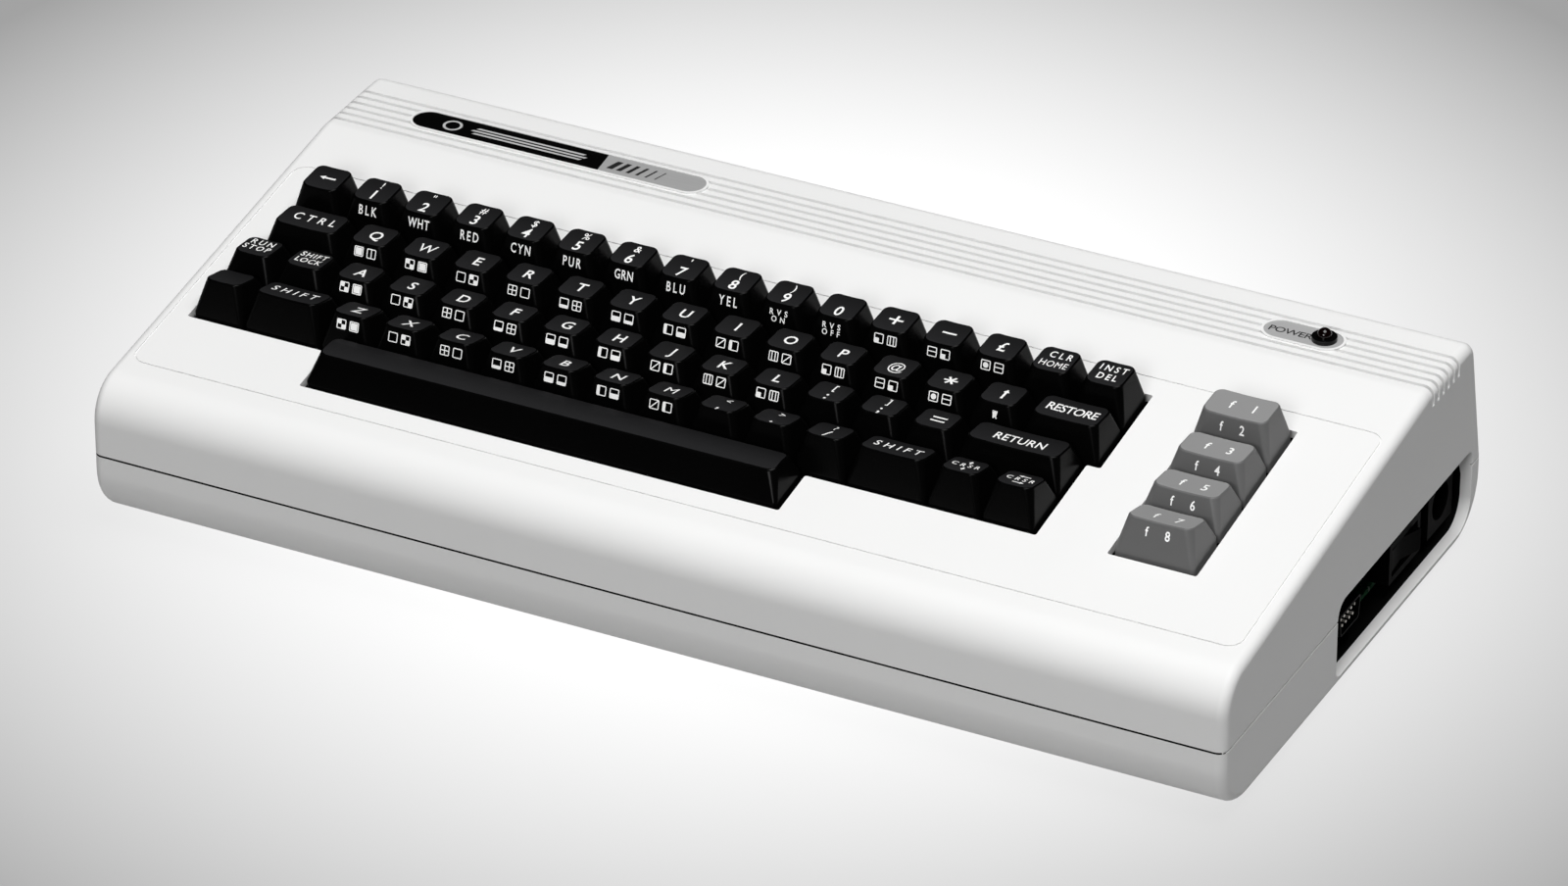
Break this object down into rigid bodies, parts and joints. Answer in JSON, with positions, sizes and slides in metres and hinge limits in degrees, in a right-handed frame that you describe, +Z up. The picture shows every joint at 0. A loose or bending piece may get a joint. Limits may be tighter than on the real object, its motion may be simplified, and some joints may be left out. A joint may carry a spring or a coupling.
{
  "type": "home computer",
  "caption": "Low sloping home computer with its keyboard in the top, a column of function keys, ports in the right side and rear, and a lamp and plain badges on a ribbed rear band.",
  "frame": {"origin": "on the table under the middle of the case", "axes": "+X to the user's right along the keyboard, +Y to the rear, +Z up"},
  "size_m": [0.404, 0.205, 0.082],
  "materials": {
    "case_plastic": "fine satin moulded texture",
    "key_black": "satin top, smoother sides",
    "key_grey": "satin",
    "frame_plastic": "plain moulded",
    "port_plastic": "plain moulded",
    "port_metal": "tinned sheet",
    "badge_black": "printed film, black and silver grey",
    "badge_silver": "satin foil",
    "lamp_plastic": "clear tinted dome",
    "wire_sleeve": "plain",
    "rubber": "matte",
    "screw_steel": "zinc plated",
    "spring_steel": "bare",
    "board_laminate": "solder mask",
    "ribbon_plastic": "plain",
    "chip_plastic": "moulded",
    "capacitor_sleeve": "shrink sleeve",
    "sheet_aluminium": "bare"
  },
  "bodies": {
    "case": {"upper_case": "case_plastic", "lower_case": "case_plastic", "rubber_feet": "rubber", "case_screws": "screw_steel", "keyboard_frame": "frame_plastic", "keyboard_board": "board_laminate", "key_springs": "spring_steel", "keyboard_ribbon": "ribbon_plastic", "main_board": "board_laminate", "board_chips": "chip_plastic", "board_capacitors": "capacitor_sleeve", "heat_sink": "sheet_aluminium", "inner_screws": "screw_steel", "cartridge_connector": "port_plastic", "video_socket": "port_plastic", "serial_socket": "port_plastic", "game_port": "port_metal", "switch_housing": "port_plastic", "power_socket": "port_plastic", "name_badge": "badge_black", "power_badge": "badge_silver", "power_lamp": "lamp_plastic", "lamp_collar": "port_plastic", "lamp_lead": "wire_sleeve"},
    "switch_rocker": {"switch_rocker": "port_plastic"},
    "key_space": {"key_space": "key_black"},
    "key_f1": {"key_f1": "key_grey"},
    "keys_q_to_e": {"keys_q_to_e": "key_black"},
    "key_return": {"key_return": "key_black"},
    "keys_arrow_to_2": {"keys_arrow_to_2": "key_black"},
    "keys_z_to_c": {"keys_z_to_c": "key_black"},
    "key_left_shift": {"key_left_shift": "key_black"},
    "keys_3_to_5": {"keys_3_to_5": "key_black"},
    "keys_6_to_8": {"keys_6_to_8": "key_black"},
    "keys_9_to_plus": {"keys_9_to_plus": "key_black"},
    "keys_minus_pound": {"keys_minus_pound": "key_black"},
    "key_home": {"key_home": "key_black"},
    "key_delete": {"key_delete": "key_black"},
    "key_control": {"key_control": "key_black"},
    "keys_r_to_y": {"keys_r_to_y": "key_black"},
    "keys_u_to_o": {"keys_u_to_o": "key_black"},
    "keys_p_to_star": {"keys_p_to_star": "key_black"},
    "key_up_arrow": {"key_up_arrow": "key_black"},
    "key_restore": {"key_restore": "key_black"},
    "key_stop": {"key_stop": "key_black"},
    "key_shift_lock": {"key_shift_lock": "key_black"},
    "keys_a_to_d": {"keys_a_to_d": "key_black"},
    "keys_f_to_h": {"keys_f_to_h": "key_black"},
    "keys_j_to_l": {"keys_j_to_l": "key_black"},
    "keys_colon_to_equals": {"keys_colon_to_equals": "key_black"},
    "key_mark": {"key_mark": "key_black"},
    "keys_v_to_n": {"keys_v_to_n": "key_black"},
    "keys_m_comma": {"keys_m_comma": "key_black"},
    "keys_period_slash": {"keys_period_slash": "key_black"},
    "key_right_shift": {"key_right_shift": "key_black"},
    "key_cursor_down": {"key_cursor_down": "key_black"},
    "key_cursor_right": {"key_cursor_right": "key_black"},
    "key_f3": {"key_f3": "key_grey"},
    "key_f5": {"key_f5": "key_grey"},
    "key_f7": {"key_f7": "key_grey"}
  },
  "joints": [
    {"name": "power_switch", "type": "hinge", "parent": "case", "child": "switch_rocker", "pos_m": [0.1914, 0.05, 0.0186], "axis": [0, 0, 1], "range_deg": [0, 16]},
    {"name": "key_space_press", "type": "slide", "parent": "case", "child": "key_space", "axis": [0, 0.1464, -0.9892], "range_m": [0, 0.004], "stiffness_N_per_m": 360, "springref_m": -0.006, "deforming": ["key_springs"]},
    {"name": "key_f1_press", "type": "slide", "parent": "case", "child": "key_f1", "axis": [0, 0.1464, -0.9892], "range_m": [0, 0.004], "stiffness_N_per_m": 120, "springref_m": -0.006, "deforming": ["key_springs"]},
    {"name": "keys_q_to_e_press", "type": "slide", "parent": "case", "child": "keys_q_to_e", "axis": [0, 0.1464, -0.9892], "range_m": [0, 0.004], "stiffness_N_per_m": 360, "springref_m": -0.006, "deforming": ["key_springs"]},
    {"name": "key_return_press", "type": "slide", "parent": "case", "child": "key_return", "axis": [0, 0.1464, -0.9892], "range_m": [0, 0.004], "stiffness_N_per_m": 120, "springref_m": -0.006, "deforming": ["key_springs"]},
    {"name": "keys_arrow_to_2_press", "type": "slide", "parent": "case", "child": "keys_arrow_to_2", "axis": [0, 0.1464, -0.9892], "range_m": [0, 0.004], "stiffness_N_per_m": 360, "springref_m": -0.006, "deforming": ["key_springs"]},
    {"name": "keys_z_to_c_press", "type": "slide", "parent": "case", "child": "keys_z_to_c", "axis": [0, 0.1464, -0.9892], "range_m": [0, 0.004], "stiffness_N_per_m": 360, "springref_m": -0.006, "deforming": ["key_springs"]},
    {"name": "key_left_shift_press", "type": "slide", "parent": "case", "child": "key_left_shift", "axis": [0, 0.1464, -0.9892], "range_m": [0, 0.004], "stiffness_N_per_m": 120, "springref_m": -0.006, "deforming": ["key_springs"]},
    {"name": "keys_3_to_5_press", "type": "slide", "parent": "case", "child": "keys_3_to_5", "axis": [0, 0.1464, -0.9892], "range_m": [0, 0.004], "stiffness_N_per_m": 360, "springref_m": -0.006, "deforming": ["key_springs"]},
    {"name": "keys_6_to_8_press", "type": "slide", "parent": "case", "child": "keys_6_to_8", "axis": [0, 0.1464, -0.9892], "range_m": [0, 0.004], "stiffness_N_per_m": 360, "springref_m": -0.006, "deforming": ["key_springs"]},
    {"name": "keys_9_to_plus_press", "type": "slide", "parent": "case", "child": "keys_9_to_plus", "axis": [0, 0.1464, -0.9892], "range_m": [0, 0.004], "stiffness_N_per_m": 360, "springref_m": -0.006, "deforming": ["key_springs"]},
    {"name": "keys_minus_pound_press", "type": "slide", "parent": "case", "child": "keys_minus_pound", "axis": [0, 0.1464, -0.9892], "range_m": [0, 0.004], "stiffness_N_per_m": 240, "springref_m": -0.006, "deforming": ["key_springs"]},
    {"name": "key_home_press", "type": "slide", "parent": "case", "child": "key_home", "axis": [0, 0.1464, -0.9892], "range_m": [0, 0.004], "stiffness_N_per_m": 120, "springref_m": -0.006, "deforming": ["key_springs"]},
    {"name": "key_delete_press", "type": "slide", "parent": "case", "child": "key_delete", "axis": [0, 0.1464, -0.9892], "range_m": [0, 0.004], "stiffness_N_per_m": 120, "springref_m": -0.006, "deforming": ["key_springs"]},
    {"name": "key_control_press", "type": "slide", "parent": "case", "child": "key_control", "axis": [0, 0.1464, -0.9892], "range_m": [0, 0.004], "stiffness_N_per_m": 120, "springref_m": -0.006, "deforming": ["key_springs"]},
    {"name": "keys_r_to_y_press", "type": "slide", "parent": "case", "child": "keys_r_to_y", "axis": [0, 0.1464, -0.9892], "range_m": [0, 0.004], "stiffness_N_per_m": 360, "springref_m": -0.006, "deforming": ["key_springs"]},
    {"name": "keys_u_to_o_press", "type": "slide", "parent": "case", "child": "keys_u_to_o", "axis": [0, 0.1464, -0.9892], "range_m": [0, 0.004], "stiffness_N_per_m": 360, "springref_m": -0.006, "deforming": ["key_springs"]},
    {"name": "keys_p_to_star_press", "type": "slide", "parent": "case", "child": "keys_p_to_star", "axis": [0, 0.1464, -0.9892], "range_m": [0, 0.004], "stiffness_N_per_m": 360, "springref_m": -0.006, "deforming": ["key_springs"]},
    {"name": "key_up_arrow_press", "type": "slide", "parent": "case", "child": "key_up_arrow", "axis": [0, 0.1464, -0.9892], "range_m": [0, 0.004], "stiffness_N_per_m": 120, "springref_m": -0.006, "deforming": ["key_springs"]},
    {"name": "key_restore_press", "type": "slide", "parent": "case", "child": "key_restore", "axis": [0, 0.1464, -0.9892], "range_m": [0, 0.004], "stiffness_N_per_m": 120, "springref_m": -0.006, "deforming": ["key_springs"]},
    {"name": "key_stop_press", "type": "slide", "parent": "case", "child": "key_stop", "axis": [0, 0.1464, -0.9892], "range_m": [0, 0.004], "stiffness_N_per_m": 120, "springref_m": -0.006, "deforming": ["key_springs"]},
    {"name": "key_shift_lock_press", "type": "slide", "parent": "case", "child": "key_shift_lock", "axis": [0, 0.1464, -0.9892], "range_m": [0, 0.004], "stiffness_N_per_m": 120, "springref_m": -0.006, "deforming": ["key_springs"]},
    {"name": "keys_a_to_d_press", "type": "slide", "parent": "case", "child": "keys_a_to_d", "axis": [0, 0.1464, -0.9892], "range_m": [0, 0.004], "stiffness_N_per_m": 360, "springref_m": -0.006, "deforming": ["key_springs"]},
    {"name": "keys_f_to_h_press", "type": "slide", "parent": "case", "child": "keys_f_to_h", "axis": [0, 0.1464, -0.9892], "range_m": [0, 0.004], "stiffness_N_per_m": 360, "springref_m": -0.006, "deforming": ["key_springs"]},
    {"name": "keys_j_to_l_press", "type": "slide", "parent": "case", "child": "keys_j_to_l", "axis": [0, 0.1464, -0.9892], "range_m": [0, 0.004], "stiffness_N_per_m": 360, "springref_m": -0.006, "deforming": ["key_springs"]},
    {"name": "keys_colon_to_equals_press", "type": "slide", "parent": "case", "child": "keys_colon_to_equals", "axis": [0, 0.1464, -0.9892], "range_m": [0, 0.004], "stiffness_N_per_m": 360, "springref_m": -0.006, "deforming": ["key_springs"]},
    {"name": "key_mark_press", "type": "slide", "parent": "case", "child": "key_mark", "axis": [0, 0.1464, -0.9892], "range_m": [0, 0.004], "stiffness_N_per_m": 120, "springref_m": -0.006, "deforming": ["key_springs"]},
    {"name": "keys_v_to_n_press", "type": "slide", "parent": "case", "child": "keys_v_to_n", "axis": [0, 0.1464, -0.9892], "range_m": [0, 0.004], "stiffness_N_per_m": 360, "springref_m": -0.006, "deforming": ["key_springs"]},
    {"name": "keys_m_comma_press", "type": "slide", "parent": "case", "child": "keys_m_comma", "axis": [0, 0.1464, -0.9892], "range_m": [0, 0.004], "stiffness_N_per_m": 240, "springref_m": -0.006, "deforming": ["key_springs"]},
    {"name": "keys_period_slash_press", "type": "slide", "parent": "case", "child": "keys_period_slash", "axis": [0, 0.1464, -0.9892], "range_m": [0, 0.004], "stiffness_N_per_m": 240, "springref_m": -0.006, "deforming": ["key_springs"]},
    {"name": "key_right_shift_press", "type": "slide", "parent": "case", "child": "key_right_shift", "axis": [0, 0.1464, -0.9892], "range_m": [0, 0.004], "stiffness_N_per_m": 120, "springref_m": -0.006, "deforming": ["key_springs"]},
    {"name": "key_cursor_down_press", "type": "slide", "parent": "case", "child": "key_cursor_down", "axis": [0, 0.1464, -0.9892], "range_m": [0, 0.004], "stiffness_N_per_m": 120, "springref_m": -0.006, "deforming": ["key_springs"]},
    {"name": "key_cursor_right_press", "type": "slide", "parent": "case", "child": "key_cursor_right", "axis": [0, 0.1464, -0.9892], "range_m": [0, 0.004], "stiffness_N_per_m": 120, "springref_m": -0.006, "deforming": ["key_springs"]},
    {"name": "key_f3_press", "type": "slide", "parent": "case", "child": "key_f3", "axis": [0, 0.1464, -0.9892], "range_m": [0, 0.004], "stiffness_N_per_m": 120, "springref_m": -0.006, "deforming": ["key_springs"]},
    {"name": "key_f5_press", "type": "slide", "parent": "case", "child": "key_f5", "axis": [0, 0.1464, -0.9892], "range_m": [0, 0.004], "stiffness_N_per_m": 120, "springref_m": -0.006, "deforming": ["key_springs"]},
    {"name": "key_f7_press", "type": "slide", "parent": "case", "child": "key_f7", "axis": [0, 0.1464, -0.9892], "range_m": [0, 0.004], "stiffness_N_per_m": 120, "springref_m": -0.006, "deforming": ["key_springs"]}
  ]
}
